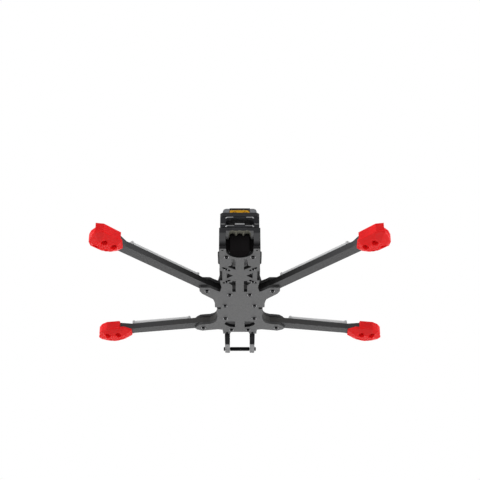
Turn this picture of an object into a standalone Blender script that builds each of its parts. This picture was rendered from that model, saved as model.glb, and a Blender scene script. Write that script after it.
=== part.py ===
# Bare quadcopter airframe, nose +Y, standing on its four red motor feet.
# Metres, +Z up, origin under the middle of the bounding box at foot level.
import math

import bmesh
import bpy
from mathutils import Matrix, Vector

for old in list(bpy.data.objects):
    bpy.data.objects.remove(old, do_unlink=True)

# Driving dimensions
GAP = 0.0003
FOOT_DROP = 0.0042
BOTTOM_THICK = 0.0030
ARM_THICK = 0.0060
MID_THICK = 0.0025
TOP_THICK = 0.0044
STANDOFF_LENGTH = 0.0226
STANDOFF_RADIUS = 0.0025
STACK_Y = 0.032845
STACK_PITCH = 0.0305
STACK_BOLT_BACK = 0.0014
BOLT_RADIUS = 0.0015
BOLT_HEAD_RADIUS = 0.0024
BOLT_HEAD_HEIGHT = 0.0015
STUD_RADIUS = 0.0010
STUD_HEAD_RADIUS = 0.0017
STUD_HEAD_HEIGHT = 0.0012
# Button head from its crown to its rim, as shares of its height and its radius
BOLT_HEAD_DOME = ((1.0, 0.62), (0.72, 0.88), (0.25, 1.0))
SOCKET_RADIUS = 0.0011
SOCKET_DEPTH = 0.0010
STUD_SOCKET_RADIUS = 0.0008
STUD_SOCKET_DEPTH = 0.0008
NUT_RADIUS = 0.0031
NUT_HEIGHT = 0.0024
STUD_COLLAR_RADIUS = 0.0023
STUD_COLLAR_HEIGHT = 0.0016
ARM_WIDTH = 0.0116
REAR_MOTOR_X = 0.1255
REAR_MOTOR_BACK = 0.1466
REAR_MOTOR_Y = STACK_Y - REAR_MOTOR_BACK
REAR_SWEEP = math.radians(226.5)
FRONT_MOTOR_X = 0.1370
FRONT_MOTOR_AHEAD = 0.0566
FRONT_MOTOR_Y = STACK_Y + FRONT_MOTOR_AHEAD
FRONT_SWEEP = math.radians(169.2)
MOTOR_PITCH = 0.0160
MOTOR_PAD_RADIUS = 0.0128
MOTOR_HOLE_RADIUS = 0.0016
MOTOR_SHAFT_RADIUS = 0.0035
FOOT_WALL_TOP = 0.0095
FOOT_ACCESS_RADIUS = 0.0034
LED_WIDTH = 0.0086
LED_HEIGHT = 0.0044
LED_FRONT_START = 0.0205
LED_REAR_START = 0.0290
LED_EAR_GAP = 0.0050
LED_ROUNDING = 0.0009
SLOT_PITCH = 0.0262
SLOT_LENGTH = 0.0078
VIDEO_BACK = 0.0833
VIDEO_Y = STACK_Y - VIDEO_BACK
CAGE_INNER = 0.0111
CAGE_THICK = 0.0053
CAGE_TAB = 0.0018
CROSSBAR_RADIUS = 0.0022
CROSSBAR_AHEAD = 0.0994
CROSSBAR_Y = STACK_Y + CROSSBAR_AHEAD
CROSSBAR_UP = 0.0022
CROSSBAR_BORE = 0.0018
END_SCREW_RADIUS = 0.0014
END_SCREW_HEAD = 0.0024
NOTCH_RADIUS = 0.0130
BODY_HALF = 0.0196
TAIL_BACK = 0.1373
BODY_REAR = STACK_Y - TAIL_BACK
BUMPER_DEPTH = 0.0085
BUMPER_TOP = 0.0230
GROOVE_RADIUS = 0.0029
GROOVE_PITCH = 0.0070
BOOT_HALF = 0.0092
WINDOW_HALF = 0.0103
WINDOW_TIP = 0.0133
WINDOW_CROWN = 0.0076
WINDOW_CORNER = 0.0018
WINDOW_HEIGHT = 0.0081
FRAME_DEPTH = 0.0030
SOCKET_HALF = 0.0096
PLUG_HEIGHT = 0.0082
PLUG_DEPTH = 0.0120
HOLDER_HALF = 0.0165
HOLDER_WALL = 0.0016
HOLDER_FLOOR = 0.0014
HOLDER_SETBACK = 0.0125
UPPER_HALF = 0.0187

# How far the fasteners reach past what they hold
EAR_BOLT_PROUD = 0.0010
STACK_BOLT_PROUD = 0.0160
STANDOFF_THREAD = 0.0070
TAIL_BOLT_REACH = 0.0090
STUD_REACH = 0.0090
TOP_SCREW_LENGTH = 0.0080

# Belly plate details, measured from its rear edge or from the video bay
NOTCH_SETBACK = 0.0046
FLARE_STEP = 0.0013
FLARE_REAR = (0.0098, 0.0115)
FLARE_FRONT = (0.0290, 0.0310)
RELIEF_DEPTH = 0.0024
RELIEF_REAR = 0.0093
RELIEF_FRONT = 0.0104
NARROW_HALF = 0.0182
NARROW = (0.0138, 0.0257)
TIE_HOLE_X = 0.0163
TIE_HOLE_RADIUS = 0.0010
TIE_HOLE_SETBACK = 0.0033
NOSE_HALF = 0.0182
NOSE_ROOT = 0.0487
NOSE_TIP = 0.0530
NOSE_INNER = (0.0104, 0.0096)

# Mid and top plate details
MID_NOSE = 0.0484
RAIL_X = (0.0155, 0.0202, 0.0222)
RAIL_Y = (0.0060, 0.0211, 0.0335)
MID_HOLE_RADIUS = 0.0120
TOP_REAR_HALF = 0.0165
TOP_REAR_CORNER = 0.0022
TOP_WAIST = (0.0560, 0.0480, 0.0050)
TOP_WAIST_HALF = 0.0150
TOP_FRONT_HALF = 0.0185
TOP_NOSE_HALF = 0.0130
TOP_FRONT = (0.0020, 0.0640, 0.0720)
SLIT_X = (0.0120, 0.0145)
SLIT_LENGTH = 0.0200
SLIT_STARTS = (-0.1000, -0.0660, 0.0060)
HOLLOW_HALF = 0.0035
HOLLOW_LENGTH = 0.0220
HOLLOW_STARTS = (-0.1000, -0.0660, -0.0300, 0.0060)

# Arm neck and motor foot details
ARM_NECK = 0.0210
FOOT_RIM_LIFT = 0.0008
FOOT_LAP = 0.0005
FOOT_NECK = 0.0300
FOOT_NECK_FLARE = 0.0030

# Tail details: bumper gate, cable boot, window and power socket
GATE_STEP = 0.0151
GATE_CEILING = 0.0170
GATE_LOW_HALF = 0.0134
GATE_HIGH_HALF = 0.0105
BOOT_LIFT = 0.0004
BOOT_SETBACK = 0.0048
BOOT_ROUND_START = 0.0062
FLANGE_HALF = 0.0131
FLANGE_THICK = 0.0020
FLANGE_TOP = 0.0205
CABLE_START = 0.0054
CABLE_END = 0.0080
SILL = 0.0022
BUMP_HALF = (0.0050, 0.0040)
BUMP_HEIGHT = 0.0026
HOLDER_ROUNDING = 0.0030
PEG_LENGTH = 0.0060
PLUG_CHAMFER = 0.0020
CONTACT_X = 0.0050
CONTACT_RADIUS = 0.0026
CONTACT_DEPTH = 0.0080

# Camera cage details, in side view from the stack centre or the crossbar
CAGE_START = 0.0490
CAGE_CHIN = (0.0536, 0.0552, 0.0570)
CAGE_CHIN_STEP = 0.0012
CAGE_NOSE_RADIUS = 0.0042
CAGE_BROW = (0.0080, 0.0120)
CAGE_SLOPE = (0.0280, 0.0040)
CAGE_CROWN = 0.0300
TAB_LENGTH = 0.0036
TAB_LIFT = 0.0002
TAB_ROOT = 0.0020
TILT_HOLE_RADIUS = 0.0050
TILT_HOLE_Y = 0.0700
TILT_HOLE_UP = 0.0200
END_SCREW_REACH = 0.0040
END_SCREW_RIM = 0.0009
END_SCREW_HEIGHT = 0.0016
END_SCREW_DOME = 0.65

# Levels above the foot plane
BOTTOM_LOW = FOOT_DROP
BOTTOM_HIGH = BOTTOM_LOW + BOTTOM_THICK
ARM_LOW = BOTTOM_HIGH + GAP
ARM_HIGH = ARM_LOW + ARM_THICK
MID_LOW = ARM_HIGH + GAP
MID_HIGH = MID_LOW + MID_THICK
TOP_LOW = MID_HIGH + GAP + STANDOFF_LENGTH + GAP
TOP_HIGH = TOP_LOW + TOP_THICK

# Bolt places on the left half, as x and y from the stack centre
HALF_STACK = STACK_PITCH / 2
REAR_EAR = (-0.0331, -0.0502)
FRONT_EAR = (-0.0393, 0.0373)
REAR_INNER = (-0.0101, -0.0419)
FRONT_INNER = (-0.0090, 0.0426)
TAIL = (-0.0126, -0.1214)
STACK_REAR = (-HALF_STACK, -HALF_STACK - STACK_BOLT_BACK)
STACK_FRONT = (-HALF_STACK, HALF_STACK - STACK_BOLT_BACK)

MATERIALS = {
    "carbon": ((0.10, 0.10, 0.105, 1.0), 0.55, 0.0),
    "red": ((0.75, 0.02, 0.025, 1.0), 0.55, 0.0),
    "pale": ((0.62, 0.63, 0.64, 1.0), 0.45, 0.0),
    "black": ((0.02, 0.02, 0.02, 1.0), 0.60, 0.0),
    "steel": ((0.45, 0.45, 0.46, 1.0), 0.30, 1.0),
    "alloy": ((0.06, 0.06, 0.065, 1.0), 0.40, 1.0),
    "amber": ((0.80, 0.42, 0.03, 1.0), 0.45, 0.0),
}


def material(kind):
    found = bpy.data.materials.get(kind)
    if found:
        return found
    made = bpy.data.materials.new(kind)
    made.use_nodes = True
    shader = made.node_tree.nodes["Principled BSDF"]
    colour, rough, metal = MATERIALS[kind]
    shader.inputs["Base Color"].default_value = colour
    shader.inputs["Roughness"].default_value = rough
    shader.inputs["Metallic"].default_value = metal
    return made


def prism(shape, outline, low, high):
    """Add a closed straight prism over a plan outline to a bmesh."""
    under = [shape.verts.new((x, y, low)) for x, y in outline]
    over = [shape.verts.new((x, y, high)) for x, y in outline]
    count = len(outline)
    shape.faces.new(list(reversed(under)))
    shape.faces.new(over)
    for i in range(count):
        j = (i + 1) % count
        shape.faces.new((under[i], under[j], over[j], over[i]))
    return under + over


def ring(radius, count, turn=0.0, x=0.0, y=0.0):
    step = 2 * math.pi / count
    angles = [turn + i * step for i in range(count)]
    return [(x + radius * math.cos(a), y + radius * math.sin(a)) for a in angles]


def box(half_x, low_y, high_y):
    return [(-half_x, low_y), (half_x, low_y), (half_x, high_y), (-half_x, high_y)]


def finish(name, shape, kind, place=None):
    """Turn a bmesh into a named object with its own material."""
    if place is not None:
        bmesh.ops.transform(shape, matrix=place, verts=shape.verts)
    bmesh.ops.recalc_face_normals(shape, faces=shape.faces)
    mesh = bpy.data.meshes.new(name)
    shape.to_mesh(mesh)
    shape.free()
    made = bpy.data.objects.new(name, mesh)
    mesh.materials.append(material(kind))
    bpy.context.scene.collection.objects.link(made)
    return made


def carve(target, cutter_shape, operation="DIFFERENCE"):
    """Apply one exact Boolean with a throwaway tool body."""
    tool = finish("tool", cutter_shape, "steel")
    step = target.modifiers.new("carve", "BOOLEAN")
    step.operation = operation
    step.solver = "EXACT"
    step.object = tool
    bpy.context.view_layer.update()
    view = target.evaluated_get(bpy.context.evaluated_depsgraph_get())
    fresh = bpy.data.meshes.new_from_object(view)
    target.modifiers.clear()
    worn = target.data
    target.data = fresh
    fresh.name = worn.name + "_cut"
    bpy.data.meshes.remove(worn)
    bpy.data.objects.remove(tool, do_unlink=True)
    keep = target.data.materials[0]
    target.data.materials.clear()
    target.data.materials.append(keep)


def mirror(points):
    return [(-x, y) for x, y in reversed(points)]


def at_stack(points):
    return [(x, y + STACK_Y) for x, y in points]


def both_sides(point):
    x, y = point
    return [("left", x, y + STACK_Y), ("right", -x, y + STACK_Y)]


HOLE = BOLT_RADIUS + GAP
# Shank radius, head radius, head height, socket radius and socket depth
BOLT_SIZES = (BOLT_RADIUS, BOLT_HEAD_RADIUS, BOLT_HEAD_HEIGHT, SOCKET_RADIUS, SOCKET_DEPTH)
STUD_SIZES = (STUD_RADIUS, STUD_HEAD_RADIUS, STUD_HEAD_HEIGHT, STUD_SOCKET_RADIUS, STUD_SOCKET_DEPTH)
CUT = 0.001
# Side view profiles are drawn as y and z, then stood up into place
STAND_X = Matrix(((0, 0, 1, 0), (1, 0, 0, 0), (0, 1, 0, 0), (0, 0, 0, 1)))
# End view profiles are drawn as x and z, with depth along y
STAND_Y = Matrix(((1, 0, 0, 0), (0, 0, 1, 0), (0, 1, 0, 0), (0, 0, 0, 1)))

# Hub outline shared by the bottom and mid plates, left half, rear to front
EAR_REAR = [
    (-0.0200, -0.0481), (-0.0220, -0.0492), (-0.0245, -0.0515), (-0.0269, -0.0537), (-0.0299, -0.0570),
    (-0.0392, -0.0572), (-0.0406, -0.0555), (-0.0406, -0.0495), (-0.0383, -0.0436), (-0.0274, -0.0311),
    (-0.0264, -0.0265), (-0.0258, -0.0219),
]
EAR_FRONT = [
    (-0.0239, 0.0019), (-0.0235, 0.0092), (-0.0242, 0.0165), (-0.0254, 0.0215), (-0.0276, 0.0253),
    (-0.0320, 0.0281), (-0.0395, 0.0293), (-0.0428, 0.0303), (-0.0461, 0.0341), (-0.0485, 0.0385),
    (-0.0464, 0.0423), (-0.0405, 0.0454), (-0.0345, 0.0440), (-0.0236, 0.0419), (-0.0187, 0.0431),
]
WAIST_PLAIN = [(-0.0257, -0.0110)]
# First ear point the mid plate keeps beside its rail
RAIL_JOIN = 3
WAIST_SLIT = [(-0.0258, -0.0123), (-0.0197, -0.0123), (-0.0197, -0.0079), (-0.0228, -0.0079)]

# Windows in the belly plate, left half, from the stack centre
BELLY_WINDOWS = [
    [(-0.0041, -0.1173), (-0.0041, -0.0954), (-0.0113, -0.1008), (-0.0113, -0.1020),
     (-0.0078, -0.1045), (-0.0078, -0.1173)],
    [(-0.0127, -0.0886), (-0.0127, -0.0774), (-0.0066, -0.0830)],
    [(-0.0041, -0.0718), (-0.0041, -0.0480), (-0.0075, -0.0480), (-0.0075, -0.0618),
     (-0.0111, -0.0672), (-0.0111, -0.0684), (-0.0075, -0.0690), (-0.0075, -0.0718)],
    [(-0.0051, 0.0215), (-0.0051, 0.0366), (-0.0105, 0.0354), (-0.0148, 0.0316),
     (-0.0165, 0.0280), (-0.0147, 0.0226)],
]


def bottom_plate():
    tail = []
    for i in range(9):
        angle = math.radians(90 + i * 90 / 8)
        tail.append((NOTCH_RADIUS * math.cos(angle), NOTCH_RADIUS * math.sin(angle)))
    notch_y = BODY_REAR + NOTCH_SETBACK
    arc = [(x, y + notch_y) for x, y in tail[1:]]
    flare = -BODY_HALF - FLARE_STEP
    relief = -BODY_HALF + RELIEF_DEPTH
    side = [
        (-NOTCH_RADIUS, BODY_REAR), (-BODY_HALF, BODY_REAR), (-BODY_HALF, BODY_REAR + FLARE_REAR[0]),
        (flare, BODY_REAR + FLARE_REAR[1]), (flare, BODY_REAR + FLARE_FRONT[0]),
        (-BODY_HALF, BODY_REAR + FLARE_FRONT[1]), (-BODY_HALF, VIDEO_Y - RELIEF_REAR),
        (relief, VIDEO_Y - RELIEF_REAR), (relief, VIDEO_Y + RELIEF_FRONT),
        (-BODY_HALF, VIDEO_Y + RELIEF_FRONT), (-BODY_HALF, VIDEO_Y + NARROW[0]),
        (-NARROW_HALF, VIDEO_Y + NARROW[1]),
    ]
    tab_mid = CAGE_INNER + CAGE_THICK / 2
    slot = CAGE_TAB / 2 + GAP
    nose = at_stack([
        (-NOSE_HALF, NOSE_ROOT), (-NOSE_HALF, NOSE_TIP), (-tab_mid - slot, NOSE_TIP),
        (-tab_mid - slot, NOSE_ROOT), (-tab_mid + slot, NOSE_ROOT), (-tab_mid + slot, NOSE_TIP),
        (-NOSE_INNER[0], NOSE_TIP), (-NOSE_INNER[1], NOSE_ROOT),
    ])
    left = arc + side + at_stack(EAR_REAR + WAIST_SLIT + EAR_FRONT) + nose
    outline = left + mirror(left) + [(0.0, notch_y + NOTCH_RADIUS)]
    shape = bmesh.new()
    prism(shape, outline, BOTTOM_LOW, BOTTOM_HIGH)
    plate = finish("bottom_plate", shape, "carbon")
    tool = bmesh.new()
    low = BOTTOM_LOW - CUT
    high = BOTTOM_HIGH + CUT
    for spot in bolt_spots():
        prism(tool, ring(HOLE, 16, 0.0, spot[1], spot[2]), low, high)
    for x, y in stud_spots():
        prism(tool, radial_slot(x, y, STUD_RADIUS + GAP), low, high)
    for window in BELLY_WINDOWS:
        prism(tool, at_stack(window), low, high)
        prism(tool, mirror(at_stack(window)), low, high)
    for side_x in (-TIE_HOLE_X, TIE_HOLE_X):
        prism(tool, ring(TIE_HOLE_RADIUS, 10, 0.0, side_x, BODY_REAR + TIE_HOLE_SETBACK), low, high)
    carve(plate, tool)


def bolt_spots():
    """All plain bolts through the bottom plate: name, x, y, top of the shank."""
    spots = []
    standoff_end = MID_HIGH + GAP + STANDOFF_THREAD
    plans = [
        ("rear_ear_bolt", REAR_EAR, MID_HIGH + EAR_BOLT_PROUD),
        ("front_ear_bolt", FRONT_EAR, MID_HIGH + EAR_BOLT_PROUD),
        ("rear_inner_bolt", REAR_INNER, standoff_end),
        ("front_inner_bolt", FRONT_INNER, standoff_end),
        ("stack_rear_bolt", STACK_REAR, MID_HIGH + STACK_BOLT_PROUD),
        ("stack_front_bolt", STACK_FRONT, MID_HIGH + STACK_BOLT_PROUD),
        ("tail_bolt", TAIL, BOTTOM_HIGH + TAIL_BOLT_REACH),
    ]
    for name, place, top in plans:
        for hand, x, y in both_sides(place):
            spots.append((name + "_" + hand, x, y, top))
    return spots


def stud_spots():
    reach = SLOT_PITCH / 2
    return [(sx * reach, VIDEO_Y + sy * reach) for sx in (-1, 1) for sy in (-1, 1)]


def radial_slot(x, y, radius):
    """Rounded slot that points at the middle of the video bay."""
    aim = math.atan2(y - VIDEO_Y, x)
    half = SLOT_LENGTH / 2
    points = []
    for end, start in ((half, -90), (-half, 90)):
        cx = x + end * math.cos(aim)
        cy = y + end * math.sin(aim)
        for i in range(7):
            angle = aim + math.radians(start + i * 30)
            points.append((cx + radius * math.cos(angle), cy + radius * math.sin(angle)))
    return points


def mid_plate():
    """Hub plate over the arms, with a rail along each side of the video bay."""
    inner, outer, root = RAIL_X
    rail_end, rail_front, root_y = (VIDEO_Y + step for step in RAIL_Y)
    rail = [
        (-inner, STACK_Y + EAR_REAR[0][1]), (-inner, rail_end), (-outer, rail_end), (-outer, rail_front),
        (-root, root_y),
    ]
    ears = EAR_REAR[RAIL_JOIN:] + WAIST_PLAIN + EAR_FRONT
    left = rail + at_stack(ears + [(-NOSE_HALF, MID_NOSE)])
    shape = bmesh.new()
    prism(shape, left + mirror(left), MID_LOW, MID_HIGH)
    plate = finish("mid_plate", shape, "carbon")
    tool = bmesh.new()
    for name, x, y, top in bolt_spots():
        if not name.startswith("tail"):
            prism(tool, ring(HOLE, 16, 0.0, x, y), MID_LOW - CUT, MID_HIGH + CUT)
    prism(tool, ring(MID_HOLE_RADIUS, 24, 0.0, 0.0, STACK_Y), MID_LOW - CUT, MID_HIGH + CUT)
    carve(plate, tool)


def standoff_spots():
    spots = []
    for name, place, low in (
        ("tail_standoff", TAIL, BOTTOM_HIGH + GAP),
        ("rear_standoff", REAR_INNER, MID_HIGH + GAP),
        ("front_standoff", FRONT_INNER, MID_HIGH + GAP),
    ):
        for hand, x, y in both_sides(place):
            spots.append((name + "_" + hand, x, y, low))
    return spots


def top_plate():
    left = [
        (-TOP_REAR_HALF, BODY_REAR), (-UPPER_HALF, BODY_REAR + TOP_REAR_CORNER),
        (-UPPER_HALF, STACK_Y - TOP_WAIST[0]), (-TOP_WAIST_HALF, STACK_Y - TOP_WAIST[1]),
        (-TOP_WAIST_HALF, STACK_Y - TOP_WAIST[2]), (-TOP_FRONT_HALF, STACK_Y + TOP_FRONT[0]),
        (-TOP_FRONT_HALF, STACK_Y + TOP_FRONT[1]), (-TOP_NOSE_HALF, STACK_Y + TOP_FRONT[2]),
    ]
    shape = bmesh.new()
    prism(shape, left + mirror(left), TOP_LOW, TOP_HIGH)
    plate = finish("top_plate", shape, "carbon")
    tool = bmesh.new()
    low = TOP_LOW - CUT
    high = TOP_HIGH + CUT
    for name, x, y, foot in standoff_spots():
        prism(tool, ring(HOLE, 16, 0.0, x, y), low, high)
    inner, outer = SLIT_X
    for start in SLIT_STARTS:
        end = start + SLIT_LENGTH
        slit = at_stack([(-outer, start), (-inner, start), (-inner, end), (-outer, end)])
        prism(tool, slit, low, high)
        prism(tool, mirror(slit), low, high)
    for start in HOLLOW_STARTS:
        prism(tool, at_stack(box(HOLLOW_HALF, start, start + HOLLOW_LENGTH)), low, high)
    carve(plate, tool)


def arm_frame(hand, x, y, sweep):
    """Matrix from arm plan (outward, sideways) to the part, mirrored for the right."""
    place = Matrix.Translation((-x, y, 0)) @ Matrix.Rotation(sweep, 4, "Z")
    if hand == "right":
        return Matrix.Diagonal((-1, 1, 1, 1)) @ place
    return place


def to_world(points, x, y, sweep):
    turn = Matrix.Rotation(sweep, 2)
    out = []
    for s, t in points:
        spot = turn @ Vector((s, t))
        out.append((spot.x - x, spot.y + y))
    return out


def pad_outline(radius, reach):
    """Rounded motor pad that narrows into the arm, from one side to the other."""
    half = ARM_WIDTH / 2
    points = [(-reach, -half)]
    for i in range(13):
        angle = math.radians(-120 + i * 20)
        points.append((radius * math.cos(angle), radius * math.sin(angle)))
    points.append((-reach, half))
    return points


def motor_spots():
    reach = MOTOR_PITCH / 2 / math.sqrt(2)
    return [(sx * reach, sy * reach) for sx in (-1, 1) for sy in (-1, 1)]


REAR_ROOT = [
    (-0.0280, -0.0358), (-0.0262, -0.0280), (-0.0252, -0.0210), (-0.0252, -0.0129), (-0.0190, -0.0129),
    (-0.0190, -0.0073), (-0.0245, -0.0073), (-0.0236, -0.0006), (-0.0010, -0.0006), (-0.0010, -0.0465),
    (-0.0200, -0.0470), (-0.0245, -0.0500), (-0.0295, -0.0560), (-0.0330, -0.0580),
]
FRONT_ROOT = [
    (-0.0430, 0.0310), (-0.0395, 0.0301), (-0.0322, 0.0290), (-0.0282, 0.0260), (-0.0260, 0.0220),
    (-0.0248, 0.0165), (-0.0241, 0.0092), (-0.0240, 0.0006), (-0.0010, 0.0006), (-0.0010, 0.0480),
    (-0.0176, 0.0480), (-0.0192, 0.0414), (-0.0240, 0.0412), (-0.0342, 0.0432),
]


def arm(end, hand):
    if end == "rear":
        x, y, sweep, root = REAR_MOTOR_X, REAR_MOTOR_Y, REAR_SWEEP, REAR_ROOT
    else:
        x, y, sweep, root = FRONT_MOTOR_X, FRONT_MOTOR_Y, FRONT_SWEEP, FRONT_ROOT
    pad = to_world(pad_outline(MOTOR_PAD_RADIUS, ARM_NECK), x, y, sweep)
    body = at_stack(root)
    if end == "rear":
        body.reverse()
    outline = pad + body
    if hand == "right":
        outline = mirror(outline)
    shape = bmesh.new()
    prism(shape, outline, ARM_LOW, ARM_HIGH)
    name = "arm_" + end + "_" + hand
    made = finish(name, shape, "carbon")
    tool = bmesh.new()
    low = ARM_LOW - CUT
    high = ARM_HIGH + CUT
    for label, bx, by, top in bolt_spots():
        if hand in label and not label.startswith("tail") and end in label:
            prism(tool, ring(HOLE, 16, 0.0, bx, by), low, high)
    flip = -1 if hand == "right" else 1
    for spot in motor_spots():
        mx, my = to_world([spot], x, y, sweep)[0]
        prism(tool, ring(MOTOR_HOLE_RADIUS, 12, 0.0, flip * mx, my), low, high)
    mx, my = to_world([(0.0, 0.0)], x, y, sweep)[0]
    prism(tool, ring(MOTOR_SHAFT_RADIUS, 16, 0.0, flip * mx, my), low, high)
    carve(made, tool)


# Foot outlines in arm plan, outward and towards the tail: rim under the arm, sole, wall top
FOOT_PLANS = {
    "rear": {
        "rim": [(-0.0177, -0.0030), (-0.0100, -0.0118), (-0.0033, -0.0130), (0.0080, -0.0124),
                (0.0124, -0.0085), (0.0182, 0.0030), (0.0200, 0.0085), (0.0140, 0.0146),
                (-0.0085, 0.0140), (-0.0177, 0.0045)],
        "sole": [(-0.0090, -0.0014), (-0.0058, -0.0050), (-0.0020, -0.0062), (0.0050, -0.0062),
                 (0.0075, -0.0046), (0.0092, 0.0000), (0.0100, 0.0034), (0.0080, 0.0066),
                 (-0.0060, 0.0066), (-0.0090, 0.0030)],
        "wall": [(-0.0066, -0.0142), (0.0060, -0.0142), (0.0118, -0.0098), (0.0150, -0.0030),
                 (0.0160, 0.0060), (0.0210, 0.0108), (0.0148, 0.0152), (-0.0066, 0.0144)],
    },
    "front": {
        "rim": [(-0.0184, -0.0050), (-0.0091, -0.0125), (0.0030, -0.0145), (0.0090, -0.0142),
                (0.0178, -0.0096), (0.0194, -0.0040), (0.0130, 0.0095), (0.0052, 0.0140),
                (-0.0140, 0.0130), (-0.0205, 0.0060)],
        "sole": [(-0.0090, -0.0024), (-0.0055, -0.0060), (0.0020, -0.0066), (0.0048, -0.0064),
                 (0.0080, -0.0044), (0.0088, -0.0014), (0.0076, 0.0046), (0.0040, 0.0066),
                 (-0.0066, 0.0064), (-0.0096, 0.0030)],
        "wall": [(-0.0090, -0.0140), (0.0030, -0.0148), (0.0078, -0.0142), (0.0162, -0.0088),
                 (0.0166, 0.0040), (0.0119, 0.0104), (0.0052, 0.0145), (-0.0090, 0.0145)],
    },
}


def stack_rows(shape, rows):
    """Close a body from plan rows that share a point count, lowest row first."""
    count = len(rows[0])
    shape.faces.new(list(reversed(rows[0])))
    shape.faces.new(rows[-1])
    for under, over in zip(rows, rows[1:]):
        for i in range(count):
            j = (i + 1) % count
            shape.faces.new((under[i], under[j], over[j], over[i]))


def foot(end, hand):
    """Soft red boot: tapered sole under the arm and a wall round the motor pad."""
    if end == "rear":
        x, y, sweep = REAR_MOTOR_X, REAR_MOTOR_Y, REAR_SWEEP
    else:
        x, y, sweep = FRONT_MOTOR_X, FRONT_MOTOR_Y, FRONT_SWEEP
    plan = FOOT_PLANS[end]
    rim_low = BOTTOM_LOW + FOOT_RIM_LIFT
    seat = ARM_LOW - GAP
    wall_top = BOTTOM_LOW + FOOT_WALL_TOP
    shape = bmesh.new()
    rows = []
    for outline, level in ((plan["sole"], 0.0), (plan["rim"], rim_low), (plan["rim"], seat)):
        rows.append([shape.verts.new((s, t, level)) for s, t in outline])
    stack_rows(shape, rows)
    made = finish("foot_" + end + "_" + hand, shape, "red")
    wall = bmesh.new()
    prism(wall, plan["wall"], rim_low + FOOT_LAP, wall_top)
    carve(made, wall, "UNION")
    tool = bmesh.new()
    pad = pad_outline(MOTOR_PAD_RADIUS + GAP, FOOT_NECK)
    neck = ARM_WIDTH / 2 + FOOT_NECK_FLARE
    pad[0] = (-FOOT_NECK, -neck)
    pad[-1] = (-FOOT_NECK, neck)
    prism(tool, pad, seat, wall_top + CUT)
    carve(made, tool)
    tool = bmesh.new()
    for spot in motor_spots():
        prism(tool, ring(FOOT_ACCESS_RADIUS, 16, 0.0, spot[0], spot[1]), -CUT, seat + CUT)
    carve(made, tool)
    made.data.transform(arm_frame(hand, x, y, sweep))
    if hand == "right":
        made.data.flip_normals()


def ear_reach(ear, x, y, sweep):
    """How far outward along an arm the hub's ear comes, measured from the motor."""
    turn = Matrix.Rotation(-sweep, 2)
    return max((turn @ Vector((px + x, py - y))).x for px, py in at_stack(ear))


def led_bar(end, hand):
    """Pale light bar lying on the arm between the hub's ear and the motor pad."""
    if end == "rear":
        x, y, sweep, start, ear = REAR_MOTOR_X, REAR_MOTOR_Y, REAR_SWEEP, LED_REAR_START, EAR_REAR
    else:
        x, y, sweep, start, ear = FRONT_MOTOR_X, FRONT_MOTOR_Y, FRONT_SWEEP, LED_FRONT_START, EAR_FRONT
    half = LED_WIDTH / 2
    low = ARM_HIGH + GAP
    inner = ear_reach(ear, x, y, sweep) + LED_EAR_GAP
    outline = [(inner, -half), (-start, -half), (-start, half), (inner, half)]
    shape = bmesh.new()
    prism(shape, outline, low, low + LED_HEIGHT)
    edges = [e for e in shape.edges if all(v.co.z > low + LED_HEIGHT / 2 for v in e.verts)]
    bmesh.ops.bevel(
        shape, geom=edges, offset=LED_ROUNDING, segments=2, affect="EDGES", profile=0.5, material=-1)
    finish("led_bar_" + end + "_" + hand, shape, "pale", arm_frame(hand, x, y, sweep))


def bolt(name, x, y, low, top, sizes=BOLT_SIZES):
    """Button head below, plain shank above, round driver socket."""
    shank, head, height, socket_radius, socket_depth = sizes
    shape = bmesh.new()
    seat = low - GAP
    levels = [(seat - height * rise, head * share) for rise, share in BOLT_HEAD_DOME]
    levels += [(seat, head), (seat, shank), (top, shank)]
    count = 12
    rows = []
    crown = seat - height
    socket = [(crown + socket_depth, socket_radius), (crown, socket_radius)]
    for level, radius in socket + levels:
        rows.append([shape.verts.new((px, py, level)) for px, py in ring(radius, count, 0.0, x, y)])
    stack_rows(shape, rows)
    return finish(name, shape, "steel")


def tube(name, x, y, low, high, outer, inner, kind, count=16, outer_count=None):
    shape = bmesh.new()
    sides = outer_count or count
    prism(shape, ring(outer, sides, 0.0, x, y), low, high)
    made = finish(name, shape, kind)
    tool = bmesh.new()
    prism(tool, ring(inner, count, 0.0, x, y), low - CUT, high + CUT)
    carve(made, tool)
    return made


def fasteners():
    for name, x, y, top in bolt_spots():
        bolt(name, x, y, BOTTOM_LOW, top)
        if name.startswith("stack"):
            nut_low = MID_HIGH + GAP
            nut_name = name.replace("bolt", "nut")
            tube(nut_name, x, y, nut_low, nut_low + NUT_HEIGHT, NUT_RADIUS, HOLE, "steel", 12, 6)
    for (x, y), name in zip(stud_spots(), ("rear_left", "front_left", "rear_right", "front_right")):
        made = bolt("video_stud_" + name, x, y, BOTTOM_LOW, BOTTOM_HIGH + STUD_REACH, STUD_SIZES)
        collar = bmesh.new()
        seat = BOTTOM_HIGH + GAP
        prism(collar, ring(STUD_COLLAR_RADIUS, 6, 0.0, x, y), seat, seat + STUD_COLLAR_HEIGHT)
        carve(made, collar, "UNION")
    for name, x, y, low in standoff_spots():
        tube(name, x, y, low, TOP_LOW - GAP, STANDOFF_RADIUS, HOLE, "alloy")
        if name.startswith("tail"):
            continue
        screw = bolt("top_screw_" + name.replace("_standoff", ""), x, y, 0.0, TOP_SCREW_LENGTH)
        screw.data.transform(Matrix.Translation((0, 2 * y, TOP_HIGH)) @ Matrix.Rotation(math.pi, 4, "X"))


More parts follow.
